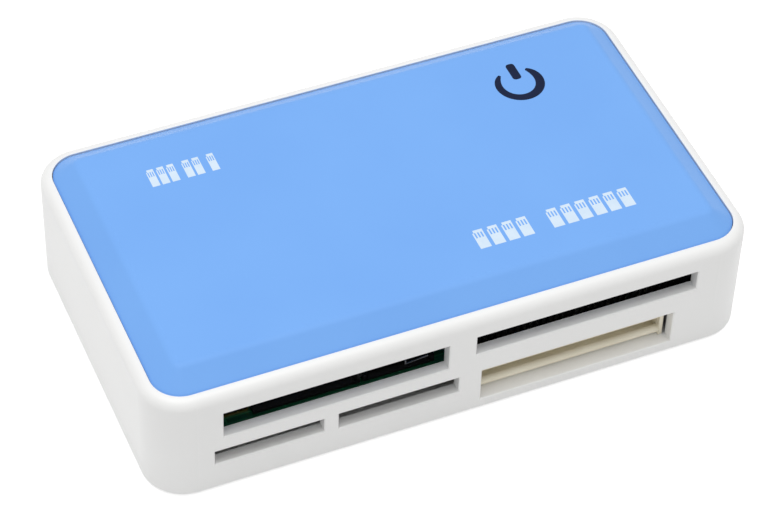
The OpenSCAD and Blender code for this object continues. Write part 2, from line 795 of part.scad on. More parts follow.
// Places a socket's own frame on the board's top, or under the board for hung sockets
module on_board(x) {
    translate([x, socket_y, board_top_z]) children();
}

module under_board(x) {
    translate([x, socket_y, board_bottom_z]) mirror([0, 0, 1]) children();
}

module main_card_socket() {
    color(black_nylon) on_board(main_x) difference() {
        card_socket(main_bay_w, main_base_t, main_rail_h, main_depth, main_count, main_pitch, 0);
        translate([-main_bay_w / 2 - rail_t - past, -past, -past])
            cube([main_notch_w + past, main_notch_d + past, main_rail_h + 2 * past]);
    }
}

module main_card_shield() {
    color(tin) on_board(main_x) shield(main_bay_w, main_rail_h, main_depth, main_shield_set, 8);
}

// Springs of the main card, and the lead of its switch
module main_card_contacts() {
    color(gold) on_board(main_x) {
        contact_row(main_depth, main_base_t, main_count, main_pitch);
        translate([lead_side - main_bay_w / 2 - rail_t, main_notch_d - 2 * lead_w, 0]) {
            cube([lead_l, lead_w, lead_w]);
            translate([lead_l - lead_w, 0, 0]) cube([lead_w, lead_w, lead_h]);
        }
    }
}

module micro_card_socket() {
    color(black_nylon) on_board(micro_x)
        card_socket(micro_bay_w, micro_base_t, micro_rail_h, micro_depth, micro_count, micro_pitch, 0);
}

// A switch lever runs forward from the shield's front edge, and along the socket's mouth
module micro_card_shield() {
    t = shield_t;
    front = -lever_out - t;
    color(tin) on_board(micro_x) {
        shield(micro_bay_w, micro_rail_h, micro_depth, micro_shield_set, 5);
        translate([lever_x1 - lever_w, 0, micro_rail_h]) rotate([90, 0, 90]) linear_extrude(lever_w)
            polygon([[2 * micro_shield_set, 0], [2 * micro_shield_set, t], [micro_shield_set, t],
                [-lever_out, lever_rise + t], [front, lever_rise + t], [front, lever_rise],
                [micro_shield_set - t, 0]]);
        translate([0, -lever_out, micro_rail_h]) rotate([90, 0, 0]) linear_extrude(t)
            polygon([[lever_x0, 0], [lever_x0, lever_h], [lever_x0 + lever_w, lever_h],
                [lever_x0 + lever_w, t], [lever_x1 - lever_w, lever_rise + t], [lever_x1, lever_rise + t],
                [lever_x1, lever_rise], [lever_x1 - lever_w, lever_rise]]);
    }
}

module micro_card_contacts() {
    color(gold) on_board(micro_x) contact_row(micro_depth, micro_base_t, micro_count, micro_pitch);
}

module stick_card_socket() {
    color(black_nylon) under_board(stick_x)
        card_socket(stick_bay_w, stick_base_t, stick_rail_h, stick_depth, stick_count, stick_pitch, lip_w);
}

module stick_card_contacts() {
    color(gold) under_board(stick_x) contact_row(stick_depth, stick_base_t, stick_count, stick_pitch);
}

module small_card_socket() {
    color(black_nylon) under_board(small_x)
        card_socket(small_bay_w, small_base_t, small_rail_h, small_depth, small_count, small_pitch, lip_w);
}

module small_card_contacts() {
    color(gold) under_board(small_x) contact_row(small_depth, small_base_t, small_count, small_pitch);
}

// Tray, side rails with top lips, and the block that carries the pins
module wide_card_socket() {
    comb_count = floor(wide_slot[2] / wide_pitch);
    inner = wide_slot[2] / 2;
    outer = inner + rail_t;
    block_y = front_y + wide_depth;
    length = wide_end_y - socket_y;
    color(black_nylon) difference() {
        translate([wide_x, socket_y, board_top_z]) {
            translate([-outer, 0, wide_tray_h - wide_tray_t]) cube([2 * outer, length, wide_tray_t]);
            for (side = [-1, 1]) {
                translate([side * (inner + rail_t / 2) - rail_t / 2, 0, 0])
                    cube([rail_t, length, wide_rail_h]);
                translate([side * (outer - (rail_t + lip_w) / 2), length / 2, wide_rail_h - lip_t / 2])
                    cube([rail_t + lip_w, length, lip_t], center = true);
            }
            for (foot_y = [0, length / 2])
                translate([-outer, foot_y, 0]) cube([2 * outer, wide_foot_t, wide_tray_h]);
        }
        for (x = [-1, 0, 1])
            translate([wide_x + x * wide_window[2] - wide_window[0] / 2, socket_y + wide_window[1],
                board_top_z - past])
                cube([wide_window[0], wide_window[1], wide_tray_h + 2 * past]);
        for (i = [0 : comb_count - 1])
            translate([wide_x + (i - (comb_count - 1) / 2) * wide_pitch - comb_w / 2,
                socket_y - past, board_top_z - past])
                cube([comb_w, comb_d + past, wide_tray_h + 2 * past]);
    }
    color(black_nylon) difference() {
        translate([wide_x - outer, block_y, board_top_z])
            cube([2 * outer, wide_block_t, wide_rail_h]);
        for (row = [0, 1], i = [0 : wide_pins - 1])
            translate([pin_x(i), block_y + wide_block_t / 2, pin_z(row)])
                cube([pin_side + 2 * contact_gap, wide_block_t + past, pin_side + 2 * contact_gap],
                    center = true);
    }
}

// Each pin runs through the block, and behind it turns down to the board
module wide_card_pins() {
    tip_y = front_y + wide_depth - wide_pin_l;
    color(gold) for (row = [0, 1], i = [0 : wide_pins - 1]) {
        bend_y = wide_end_y + pin_set + row * pin_row_step;
        translate([pin_x(i), 0, 0]) rotate([90, 0, 90]) linear_extrude(pin_side, center = true)
            polygon([[tip_y, pin_z(row) - pin_side / 4], [tip_y, pin_z(row) + pin_side / 4],
                [tip_y + pin_side, pin_z(row) + pin_side / 2],
                [bend_y + pin_side, pin_z(row) + pin_side / 2], [bend_y + pin_side, board_top_z],
                [bend_y, board_top_z], [bend_y, pin_z(row) - pin_side / 2],
                [tip_y + pin_side, pin_z(row) - pin_side / 2]]);
    }
}

// Ivory socket with a full-height mouth, a lower body behind it, and legs up to the board.
// Its lower jaw has a round nose with a groove behind, and the upper jaw is set back.
module thin_card_socket() {
    half = thin_card_w / 2 + card_gap;
    outer = half + thin_cheek;
    x = thin_x - thin_shift;
    y = front_y + thin_front;
    low = floor_z + stand_gap;
    slit_z = low + thin_jaw_h;
    body_low = slit_z - thin_under;
    body_high = slit_z + thin_slit + thin_over;
    r = thin_nose_r;
    color(ivory_nylon) difference() {
        union() {
            translate([x - outer, y, low]) cube([2 * outer, thin_mouth_d, board_bottom_z - low]);
            translate([x - outer, y, body_low]) cube([2 * outer, thin_depth, body_high - body_low]);
            for (side = [-1, 1])
                translate([x + side * (outer - thin_leg / 2) - thin_leg / 2,
                    y + thin_depth - thin_leg_inset, body_low])
                    cube([thin_leg, thin_leg, board_bottom_z - body_low]);
        }
        translate([x - half, y - past, slit_z]) cube([2 * half, thin_depth - back_t + past, thin_slit]);
        translate([x - half, y - past, slit_z])
            cube([2 * half, thin_setback + past, board_bottom_z - slit_z + past]);
        translate([x - half, y + r, slit_z - thin_groove_d])
            cube([2 * half, thin_groove_w, thin_groove_d + past / 2]);
        translate([x - half, y, slit_z - r]) rotate([90, 0, 90]) linear_extrude(2 * half) difference() {
            translate([-past, 0]) square([r + past, r + past / 2]);
            translate([r, 0]) circle(r);
        }
        translate([x, y, slit_z]) for (i = [0 : thin_count - 1])
            translate([(i - (thin_count - 1) / 2) * thin_pitch - thin_contact_w / 2 - contact_gap,
                thin_depth - thin_contact_l - contact_gap, -spring_t - contact_gap])
                cube([thin_contact_w + 2 * contact_gap, thin_contact_l + past,
                    spring_t + 2 * contact_gap]);
    }
}

// Flat contacts in the slit's floor, which turn up to the board behind the socket
module thin_card_contacts() {
    tip = front_y + thin_front + thin_depth - thin_contact_l;
    bend = front_y + thin_front + thin_depth + thin_tail_gap;
    z = floor_z + stand_gap + thin_jaw_h;
    color(gold) for (i = [0 : thin_count - 1])
        translate([thin_x - thin_shift + (i - (thin_count - 1) / 2) * thin_pitch, 0, 0])
            rotate([90, 0, 90]) linear_extrude(thin_contact_w, center = true)
            polygon([[tip, z - spring_t], [tip, z], [bend, z], [bend, board_bottom_z],
                [bend + spring_t, board_bottom_z], [bend + spring_t, z - spring_t]]);
}

// Metal shell of a hub port: a folded box, open at the back of the housing
module port_shell(x) {
    color(tin) translate([x, port_mouth_y, board_top_z + port_h / 2]) difference() {
        rotate([90, 0, 0]) rounded_slab(port_w, port_h, port_bend_r, port_depth);
        translate([0, past, 0]) rotate([90, 0, 0])
            rounded_slab(port_w - 2 * port_sheet, port_h - 2 * port_sheet, port_bend_r - port_sheet,
                port_depth - port_sheet + past);
        for (side = [-1, 1], face = [-1, 1])
            translate([side * port_w / 4, -port_finger_y, face * (port_h / 2 - port_sheet / 2)])
                difference() {
                    cube([port_window[0], port_window[1], 3 * port_sheet], center = true);
                    translate([0, -finger_slit, 0])
                        cube([port_finger_w, port_window[1], 4 * port_sheet], center = true);
                }
    }
}

module port_shell_left() { port_shell(port_centres[0]); }
module port_shell_middle() { port_shell(port_centres[1]); }
module port_shell_right() { port_shell(port_centres[2]); }

// Plastic tongue of a port and the block that holds it at the back of the shell
module port_core(x) {
    back = port_mouth_y - port_depth + port_sheet;
    trim = 2 * (port_sheet + core_gap);
    color(white_abs) {
        translate([x, back + core_block_t, board_top_z + port_h / 2]) rotate([90, 0, 0])
            rounded_slab(port_w - trim, port_h - trim, port_bend_r - port_sheet, core_block_t);
        translate([x - core_w / 2, back, core_z])
            cube([core_w, port_depth - port_sheet - core_set, core_t]);
    }
}

module port_core_left() { port_core(port_centres[0]); }
module port_core_middle() { port_core(port_centres[1]); }
module port_core_right() { port_core(port_centres[2]); }

// Four contact strips on the lower face of each port's tongue
module port_contacts() {
    back = port_mouth_y - port_depth + port_sheet + core_block_t;
    color(gold) for (x = port_centres, i = [-1.5 : 1.5])
        translate([x + i * port_contact_pitch - port_contact_w / 2, back, core_z - spring_t])
            cube([port_contact_w, port_mouth_y - 2 * core_set - back, spring_t]);
}

module inlet_shell() {
    color(tin) translate([inlet_x, port_mouth_y, board_top_z]) rotate([90, 0, 0]) difference() {
        linear_extrude(inlet_depth) inlet_outline(0);
        translate([0, port_sheet, -past]) linear_extrude(inlet_depth - port_sheet + past)
            inlet_inside();
    }
}

// Inside of the inlet's shell, one sheet thickness in from its outline
module inlet_inside() {
    w = inlet_w / 2 - port_sheet;
    h = inlet_h - 2 * port_sheet;
    foot = w - inlet_slope_w;
    polygon([[-w, h], [w, h], [w, inlet_slope_h - port_sheet], [foot, 0], [-foot, 0],
        [-w, inlet_slope_h - port_sheet]]);
}

module inlet_core() {
    block_w = inlet_w - 2 * inlet_slope_h;
    color(black_nylon) translate([inlet_x, port_mouth_y - inlet_depth + port_sheet,
        board_top_z + port_sheet + core_gap]) {
        translate([-block_w / 2, 0, 0])
            cube([block_w, inlet_block_t, inlet_h - 2 * port_sheet - 2 * core_gap]);
        translate([-inlet_tongue_w / 2, 0, inlet_tongue_z])
            cube([inlet_tongue_w, inlet_depth - port_sheet - core_set, inlet_tongue_t]);
    }
}

module inlet_contacts() {
    back = port_mouth_y - inlet_depth + port_sheet + inlet_block_t;
    color(gold) for (i = [-2 : 2])
        translate([inlet_x + i * inlet_contact_pitch - inlet_contact_w / 2, back,
            board_top_z + port_sheet + core_gap + inlet_tongue_z - inlet_contact_t])
            cube([inlet_contact_w, port_mouth_y - 2 * core_set - back, inlet_contact_t]);
}

// Flat square chip with bevelled sides and a dot-shaped dimple at its first corner
module chip_body(side) {
    stand = 0.1;
    half = side / 2;
    cut = 0.25;
    dot = 1.4;
    difference() {
        intersection_for(turn = [0, 90])
            rotate([90, 0, turn]) linear_extrude(side, center = true)
                polygon([[-half + cut, stand], [half - cut, stand], [half, chip_t / 2],
                    [half - cut, chip_t], [-half + cut, chip_t], [-half, chip_t / 2]]);
        translate([-half + dot, half - dot, chip_t - stand]) cylinder(d = dot / 1.4, h = chip_t);
    }
}

// Leads on all four sides of a chip, bent down to the board
module chip_leads(side) {
    count = floor((side - 1.2) / lead_pitch) + 1;
    t = 0.15;
    w = 0.3;
    foot = lead_out / 2;
    mid = chip_t / 2;
    for (turn = [0 : 3], i = [0 : count - 1])
        rotate([0, 0, turn * 90]) translate([(i - (count - 1) / 2) * lead_pitch, side / 2, 0])
            rotate([90, 0, 90]) linear_extrude(w, center = true)
            polygon([[0, mid - t / 2], [0, mid + t / 2], [foot - t / 2, mid + t / 2], [foot + t / 2, t],
                [lead_out, t], [lead_out, 0], [foot - t / 2, 0], [foot - 1.5 * t, mid - t / 2]]);
}

module reader_chip() {
    color(black_nylon) translate([reader_at[0], reader_at[1], board_top_z]) chip_body(reader_side);
}

module reader_chip_leads() {
    color(tin) translate([reader_at[0], reader_at[1], board_top_z]) chip_leads(reader_side);
}

module hub_chip() {
    color(black_nylon) translate([hub_at[0], hub_at[1], board_top_z]) chip_body(hub_side);
}

module hub_chip_leads() {
    color(tin) translate([hub_at[0], hub_at[1], board_top_z]) chip_leads(hub_side);
}

// Slab with half-round ends, for the crystal's can
module stadium(l, w, h) {
    linear_extrude(h) {
        square([l - w, w], center = true);
        for (side = [-1, 1]) translate([side * (l - w) / 2, 0]) circle(d = w);
    }
}

module crystal() {
    color(tin) translate([crystal_at[0], crystal_at[1], board_top_z]) {
        stadium(crystal_size[0], crystal_size[1], 0.5);
        stadium(crystal_size[0] - 1.1, crystal_size[1] - 1.1, crystal_size[2]);
    }
}

// Aluminium can capacitor with its crimped neck, on a square foot
module can_capacitor(d, h) {
    foot = 0.8;
    linear_extrude(foot) polygon([[-d / 2, -d / 2], [d / 2 - 1, -d / 2], [d / 2, -d / 2 + 1],
        [d / 2, d / 2 - 1], [d / 2 - 1, d / 2], [-d / 2, d / 2]]);
    rotate_extrude() polygon([[0, foot], [d / 2 - 0.3, foot], [d / 2 - 0.3, foot + 0.5],
        [d / 2 - 0.55, foot + 0.8], [d / 2 - 0.3, foot + 1.1], [d / 2 - 0.3, h - 0.3],
        [d / 2 - 0.6, h], [0, h]]);
}

module can_capacitors() {
    color(tin) for (at = can_places) translate([at[0], at[1], board_top_z]) can_capacitor(can_d, can_h);
}

// Small block with its two end caps standing a little proud
module chip_part(size) {
    l = size[0];
    w = size[1];
    h = size[2];
    cap = l / 5;
    proud = 0.03;
    translate([-l / 2, -w / 2, proud]) cube([l, w, h - 2 * proud]);
    for (side = [-1, 1])
        translate([side * (l - cap) / 2 - cap / 2, -w / 2 - proud, 0]) cube([cap, w + 2 * proud, h]);
}

module chip_capacitors() {
    color("tan") for (at = capacitor_places)
        translate([at[0], at[1], board_top_z]) chip_part(capacitor_size);
}

module chip_resistors() {
    color("black") for (at = resistor_places)
        translate([at[0], at[1], board_top_z]) chip_part(resistor_size);
}

// Three-legged regulator with a wide cooling tab
module regulator() {
    w = regulator_size[0];
    d = regulator_size[1];
    leg = regulator_leg;
    lap = 0.05;
    color(black_nylon) translate([regulator_at[0], regulator_at[1], board_top_z]) {
        translate([-w / 2, -d / 2, lap]) cube([w, d, regulator_size[2]]);
        translate([-w / 4, d / 2 - lap, 0]) cube([w / 2, leg[1], leg[2]]);
        for (x = [-w / 3, 0, w / 3]) translate([x - leg[0] / 2, lap - d / 2 - leg[1], 0]) cube(leg);
    }
}

// Lens on a white base, under the power sign of the cover
module status_lamp() {
    color("lightblue") translate([lamp_at[0], lamp_at[1], board_top_z]) {
        translate([-lamp_size[0] / 2, -lamp_size[1] / 2, 0]) cube(lamp_size);
        translate([0, 0, lamp_size[2]]) cylinder(d1 = lamp_size[1], d2 = 0.75 * lamp_size[1], h = lamp_h);
    }
}

housing();
top_cover();
case_screws();
rubber_feet();
main_board();
board_screws();
wide_card_socket();
wide_card_pins();
thin_card_socket();
thin_card_contacts();
main_card_socket();
main_card_shield();
main_card_contacts();
micro_card_socket();
micro_card_shield();
micro_card_contacts();
stick_card_socket();
stick_card_contacts();
small_card_socket();
small_card_contacts();
port_shell_left();
port_shell_middle();
port_shell_right();
port_core_left();
port_core_middle();
port_core_right();
port_contacts();
inlet_shell();
inlet_core();
inlet_contacts();
reader_chip();
reader_chip_leads();
hub_chip();
hub_chip_leads();
crystal();
can_capacitors();
chip_capacitors();
chip_resistors();
regulator();
status_lamp();
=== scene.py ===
# %% [markdown]
# # A desktop card reader with a port hub
#
# The reader is a white moulded housing with a blue cover. Five slots in its front take memory cards,
# and three ports and a cord inlet are in its back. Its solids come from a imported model, and they stay
# where they are. This lesson gives each one a finish, models the round bar of one socket and the
# printed marks of the cover, and sets up a camera and a small white studio.

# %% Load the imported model
from math import pi, radians, sin

import bpy
from mathutils import Matrix, Vector


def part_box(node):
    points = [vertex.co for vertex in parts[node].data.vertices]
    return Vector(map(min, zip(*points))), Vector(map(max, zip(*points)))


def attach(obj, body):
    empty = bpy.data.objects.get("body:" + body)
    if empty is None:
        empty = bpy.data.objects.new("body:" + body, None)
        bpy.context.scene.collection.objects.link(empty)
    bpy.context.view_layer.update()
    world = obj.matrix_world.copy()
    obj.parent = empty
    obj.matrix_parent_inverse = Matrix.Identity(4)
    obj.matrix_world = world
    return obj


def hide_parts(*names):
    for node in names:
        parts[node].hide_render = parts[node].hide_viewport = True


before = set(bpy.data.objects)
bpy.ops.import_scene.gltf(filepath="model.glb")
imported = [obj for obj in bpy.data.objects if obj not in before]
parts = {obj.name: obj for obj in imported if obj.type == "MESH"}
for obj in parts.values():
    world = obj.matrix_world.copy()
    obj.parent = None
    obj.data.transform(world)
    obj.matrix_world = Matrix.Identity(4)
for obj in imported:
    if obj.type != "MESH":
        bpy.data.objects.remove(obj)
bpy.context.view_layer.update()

MM = 0.001

# %% [markdown]
# ## Camera
#
# The photo is taken with a long lens, from above and from the left. A camera model was fitted to the
# straight edges of the reader: its place in millimetres, and the three directions right, up and ahead.
# A camera in Blender looks along its own -Z, so the last direction is turned round in its matrix.

# %% Camera
SENSOR_W, FOCAL = 36.0, 140.118
eye = Vector((-156.669, -344.319, 405.642)) * MM
right = Vector((0.921704, -0.387062, 0.025396))
up = Vector((0.264967, 0.676074, 0.687544))
ahead = Vector((0.283292, 0.626983, -0.725699))

lens = bpy.data.cameras.new("photo_camera")
lens.sensor_width = SENSOR_W
lens.lens = FOCAL
camera = bpy.data.objects.new("photo_camera", lens)
turn = Matrix((right, up, -ahead)).transposed()
camera.matrix_world = Matrix.Translation(eye) @ turn.to_4x4()
bpy.context.scene.collection.objects.link(camera)
bpy.context.scene.camera = camera
print("camera stands", round(eye.length, 3), "m from the reader")

# %% [markdown]
# ## Colours and nodes
#
# Colours are written as sRGB hex values, as a paint chart gives them. Shaders count in linear light, so
# one function turns them over. A second small function adds a shader node with its settings and links.

# %% Colour and node helpers
def colour(code):
    """Linear RGBA of an sRGB hex value such as "80B3F5"."""
    channels = [int(code[i:i + 2], 16) / 255 for i in (0, 2, 4)]
    return [c / 12.92 if c <= 0.04045 else ((c + 0.055) / 1.055) ** 2.4 for c in channels] + [1.0]


def add_node(tree, kind, settings=None, sockets=None):
    """Adds a node. Settings are its properties, and sockets take numbers, colours or other outputs."""
    made = tree.nodes.new(kind)
    for name, value in (settings or {}).items():
        setattr(made, name, value)
    for name, value in (sockets or {}).items():
        if isinstance(value, bpy.types.NodeSocket):
            tree.links.new(value, made.inputs[name])
        else:
            made.inputs[name].default_value = value
    return made


def start_material(name, **shader_values):
    """A new material with its tree, its shader and the object's own coordinates in metres."""
    made = bpy.data.materials.new(name)
    made.use_nodes = True
    tree = made.node_tree
    shader = tree.nodes["Principled BSDF"]
    for socket, value in shader_values.items():
        shader.inputs[socket.replace("_", " ")].default_value = value
    place = add_node(tree, "ShaderNodeTexCoord").outputs["Object"]
    return made, tree, shader, place


# %% [markdown]
# ## Moulded plastic
#
# Most of the reader is injection moulded. Such plastic has a fine spark-eroded grain from its mould, a
# colour that drifts very little over the part, and a satin shine. One function makes all of them, from
# two close colours, the size of the drift and the size of the grain.

# %% Moulded plastic
def moulded_plastic(name, light, dark, rough, drift_mm, grain_mm, grain_depth_mm, **shader_values):
    """Plastic between two close colours, with grain of a real size."""
    made, tree, shader, place = start_material(name, **shader_values)
    drift = add_node(tree, "ShaderNodeTexNoise", {"noise_dimensions": "3D"},
                     {"Vector": place, "Scale": 1 / (drift_mm * MM), "Detail": 3.0})
    tint = add_node(tree, "ShaderNodeValToRGB", None, {"Fac": drift.outputs["Fac"]})
    tint.color_ramp.elements[0].position = 0.35
    tint.color_ramp.elements[0].color = colour(dark)
    tint.color_ramp.elements[1].position = 0.65
    tint.color_ramp.elements[1].color = colour(light)
    tree.links.new(tint.outputs["Color"], shader.inputs["Base Color"])
    grain = add_node(tree, "ShaderNodeTexNoise", {"noise_dimensions": "3D"},
                     {"Vector": place, "Scale": 1 / (grain_mm * MM), "Detail": 2.0})
    gloss = add_node(tree, "ShaderNodeMapRange", None,
                     {"Value": grain.outputs["Fac"], "To Min": rough - 0.06, "To Max": rough + 0.06})
    tree.links.new(gloss.outputs["Result"], shader.inputs["Roughness"])
    bump = add_node(tree, "ShaderNodeBump", None,
                    {"Height": grain.outputs["Fac"], "Distance": grain_depth_mm * MM, "Strength": 1.0})
    tree.links.new(bump.outputs["Normal"], shader.inputs["Normal"])
    return made


# White ABS, satin moulded: a clean white with a soft shine
white_abs = moulded_plastic("white_abs", "F6F6F5", "F4F4F3", 0.42, 25, 0.35, 0.004, IOR=1.54)
# Blue ABS with a smooth satin skin
blue_abs = moulded_plastic("blue_abs", "7DB2F6", "7AAFF4", 0.45, 30, 0.3, 0.003, IOR=1.54,
                           Specular_IOR_Level=0.12)
# Glass-filled nylon of the dark sockets: dull, with a coarser grain
black_nylon = moulded_plastic("black_nylon", "0F0F11", "0B0B0C", 0.55, 4, 0.25, 0.006, IOR=1.5,
                              Specular_IOR_Level=0.2)
# Natural nylon of the ivory socket
ivory_nylon = moulded_plastic("ivory_nylon", "F6EFDB", "F1E9D3", 0.48, 6, 0.3, 0.004, IOR=1.53)
# White nylon of the tongues in the hub ports
white_nylon = moulded_plastic("white_nylon", "EDEDEB", "E8E8E5", 0.45, 5, 0.3, 0.004, IOR=1.53)
# Black epoxy of the chips, dull from its mould
black_epoxy = moulded_plastic("black_epoxy", "222224", "1B1B1D", 0.6, 2, 0.15, 0.004, IOR=1.55)
# Black rubber of the feet, matt and slightly dusty
black_rubber = moulded_plastic("black_rubber", "26262A", "1E1E20", 0.78, 2, 0.4, 0.02, IOR=1.52)
# Fired ceramic of the small capacitors
tan_ceramic = moulded_plastic("tan_ceramic", "A88B66", "967A57", 0.5, 0.5, 0.1, 0.002, IOR=1.6)
# Clear lens of the lamp under the cover
lamp_lens = moulded_plastic("lamp_lens", "DDEBF5", "D2E2EE", 0.18, 1, 0.2, 0.001, IOR=1.5)
print("plastics done")

# %% [markdown]
# ## Metal
#
# Shells, shields and screws are sheet or wire with a thin plating. The plating is even, and fine lines
# from rolling run along the sheet. Stretching a noise pattern along one axis gives these lines.

# %% Plated metal
def plated_metal(name, bright, dull, rough, line_mm, stretch=(1.0, 0.06, 1.0)):
    """Metal between two close colours, with fine rolled lines of a real spacing."""
    made, tree, shader, place = start_material(name, Metallic=1.0)
    along = add_node(tree, "ShaderNodeMapping", None, {"Vector": place, "Scale": stretch})
    lines = add_node(tree, "ShaderNodeTexNoise", {"noise_dimensions": "3D"},
                     {"Vector": along.outputs["Vector"], "Scale": 1 / (line_mm * MM), "Detail": 2.0})
    tint = add_node(tree, "ShaderNodeValToRGB", None, {"Fac": lines.outputs["Fac"]})
    tint.color_ramp.elements[0].position = 0.3
    tint.color_ramp.elements[0].color = colour(dull)
    tint.color_ramp.elements[1].position = 0.7
    tint.color_ramp.elements[1].color = colour(bright)
    tree.links.new(tint.outputs["Color"], shader.inputs["Base Color"])
    gloss = add_node(tree, "ShaderNodeMapRange", None,
                     {"Value": lines.outputs["Fac"], "To Min": rough - 0.07, "To Max": rough + 0.07})
    tree.links.new(gloss.outputs["Result"], shader.inputs["Roughness"])
    return made


# Zinc-plated steel of the screws
plated_steel = plated_metal("plated_steel", "C9C9C8", "B4B4B2", 0.32, 0.3)
# Stamped stainless sheet of the shells and shields
stainless_sheet = plated_metal("stainless_sheet", "CFCFD0", "BFBFC1", 0.26, 0.2)
# Gold-flashed contacts
gold_contacts = plated_metal("gold_contacts", "E3C57A", "CFAE5F", 0.24, 0.2)
# Tin-plated leads
tinned_leads = plated_metal("tinned_leads", "CCCCCB", "BDBDBB", 0.35, 0.2)
# Spring steel of the small card's lever and cover, its colour darkened below bare metal as painted shade
# for the dark inside of its slot
spring_steel_painted_shade = plated_metal("spring_steel_painted_shade", "8E8F92", "7C7D80", 0.4, 0.2)
# Drawn can of the crystal
tinned_can = plated_metal("tinned_can", "CECECD", "C0C0BF", 0.25, 0.3)
# Drawn aluminium of the can capacitors
aluminium_can = plated_metal("aluminium_can", "D8D8D9", "C9C9CB", 0.3, 0.3)
print("metals done")

# %% [markdown]
# ## Circuit board
#
# A board is glass-fibre laminate under green solder mask. Copper tracks under the mask lift it a little
# and show as paler lines. A brick pattern with long thin bricks gives such lines without a picture.

# %% Circuit board
green_board, tree, shader, place = start_material("green_board", Roughness=0.3, IOR=1.5)
tracks = add_node(tree, "ShaderNodeTexBrick", {"offset": 0.37, "offset_frequency": 2},
                  {"Vector": place, "Color1": colour("0C452B"), "Color2": colour("0A3F28"),
                   "Mortar": colour("17623E"), "Scale": 1 / (12 * MM), "Mortar Size": 0.012,
                   "Mortar Smooth": 0.2, "Brick Width": 0.9, "Row Height": 0.11})
tree.links.new(tracks.outputs["Color"], shader.inputs["Base Color"])
lift = add_node(tree, "ShaderNodeBump", None, {"Height": tracks.outputs["Fac"], "Distance": 0.03 * MM})
tree.links.new(lift.outputs["Normal"], shader.inputs["Normal"])
print("board done")

# %% [markdown]
# ## Finishes on the solids
#
# Each solid takes the material that its real part is made of. A solid is only repainted here: its shape
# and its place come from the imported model.

# %% Paint the solids
finishes = {
    white_abs: ["housing"],
    blue_abs: ["top_cover"],
    black_rubber: ["rubber_feet"],
    plated_steel: ["case_screws", "board_screws"],
    green_board: ["main_board"],
    black_nylon: ["wide_card_socket", "main_card_socket", "micro_card_socket", "stick_card_socket",
                  "small_card_socket", "inlet_core"],
    ivory_nylon: ["thin_card_socket"],
    white_nylon: ["port_core_left", "port_core_middle", "port_core_right"],
    gold_contacts: ["wide_card_pins", "thin_card_contacts", "main_card_contacts", "micro_card_contacts",
                    "stick_card_contacts", "small_card_contacts", "port_contacts", "inlet_contacts"],
    # the micro card's shield takes the steel whose colour is darkened as painted shade
    spring_steel_painted_shade: ["micro_card_shield"],
    stainless_sheet: ["main_card_shield", "port_shell_left", "port_shell_middle",
                      "port_shell_right", "inlet_shell"],
    black_epoxy: ["reader_chip", "hub_chip", "regulator", "chip_resistors"],
    tinned_leads: ["reader_chip_leads", "hub_chip_leads"],
    tinned_can: ["crystal"],
    aluminium_can: ["can_capacitors"],
    tan_ceramic: ["chip_capacitors"],
    lamp_lens: ["status_lamp"],
}
painted = set()
for finish, names in finishes.items():
    for name in names:
        if not parts[name].material_slots:
            parts[name].data.materials.append(None)
        for slot in parts[name].material_slots:
            slot.material = finish
        painted.add(name)
print(len(painted), "solids painted, left over:", sorted(set(parts) - painted))

# %% [markdown]
# ## Helpers for modelling
#
# Operators act on whatever is selected, so each step first selects exactly what it needs. These helpers
# pick an object, select the vertices or faces that pass a test, make a box, and cut or join two solids.

# %% Modelling helpers
def clear_selection():
    """Leaves nothing selected."""
    if bpy.context.mode != "OBJECT":
        bpy.ops.object.mode_set(mode="OBJECT")
    bpy.ops.object.select_all(action="DESELECT")


def pick(piece):
    """Selects one object alone and makes it the active one."""
    clear_selection()
    piece.select_set(True)
    bpy.context.view_layer.objects.active = piece


def select_where(piece, kind, test):
    """Selects the vertices or faces that pass a test, and stays in edit mode."""
    bpy.ops.object.mode_set(mode="EDIT")
    bpy.ops.mesh.select_mode(type=kind)
    bpy.ops.mesh.select_all(action="DESELECT")
    bpy.ops.object.mode_set(mode="OBJECT")
    for item in piece.data.polygons if kind == "FACE" else piece.data.vertices:
        item.select = test(item)
    bpy.ops.object.mode_set(mode="EDIT")


def block(low_corner, high_corner):
    """A box between two corners."""
    clear_selection()
    middle = [(a + b) / 2 for a, b in zip(low_corner, high_corner)]
    bpy.ops.mesh.primitive_cube_add(size=1, location=middle)
    made = bpy.context.object
    made.scale = [b - a for a, b in zip(low_corner, high_corner)]
    bpy.ops.object.transform_apply(location=True, rotation=True, scale=True)
    return made


def join_solid(piece, other, operation):
    """Cuts another solid away from a piece, or joins it on, and removes the other."""
    pick(piece)
    change = piece.modifiers.new("change", "BOOLEAN")
    change.operation = operation
    change.object = other
    change.solver = "EXACT"
    bpy.ops.object.modifier_apply(modifier=change.name)
    bpy.data.objects.remove(other, do_unlink=True)


print("helpers ready")

# %% [markdown]
# ## Nose of the ivory socket
#
# The ivory socket's lower jaw ends in a round bar that leads a card in. In the photo the bar stands clear
# of the jaw, with a dark groove behind it and a shadow under it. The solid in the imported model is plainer
# there, so this piece takes its place: a copy of it with two cuts, and the bar joined on.

# %% Ivory socket with its bar
socket_low, socket_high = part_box("thin_card_socket")
cheek = 0.75 * MM
bar_r = 0.8 * MM
bar_z = socket_low.z + 1.1 * MM
jaw_top = socket_low.z + 2.31 * MM
groove_floor = socket_low.z + 0.7 * MM
groove_end = 2.9 * MM
past = 1 * MM
inner_low, inner_high = socket_low.x + cheek, socket_high.x - cheek
front = socket_low.y

pick(parts["thin_card_socket"])
bpy.ops.object.duplicate()
ivory = bpy.context.object
bpy.ops.object.mode_set(mode="EDIT")
bpy.ops.mesh.select_all(action="SELECT")
bpy.ops.mesh.remove_doubles(threshold=0.001 * MM)
bpy.ops.object.mode_set(mode="OBJECT")
ivory.name = "ivory_socket"
ivory.data.name = "ivory_socket"

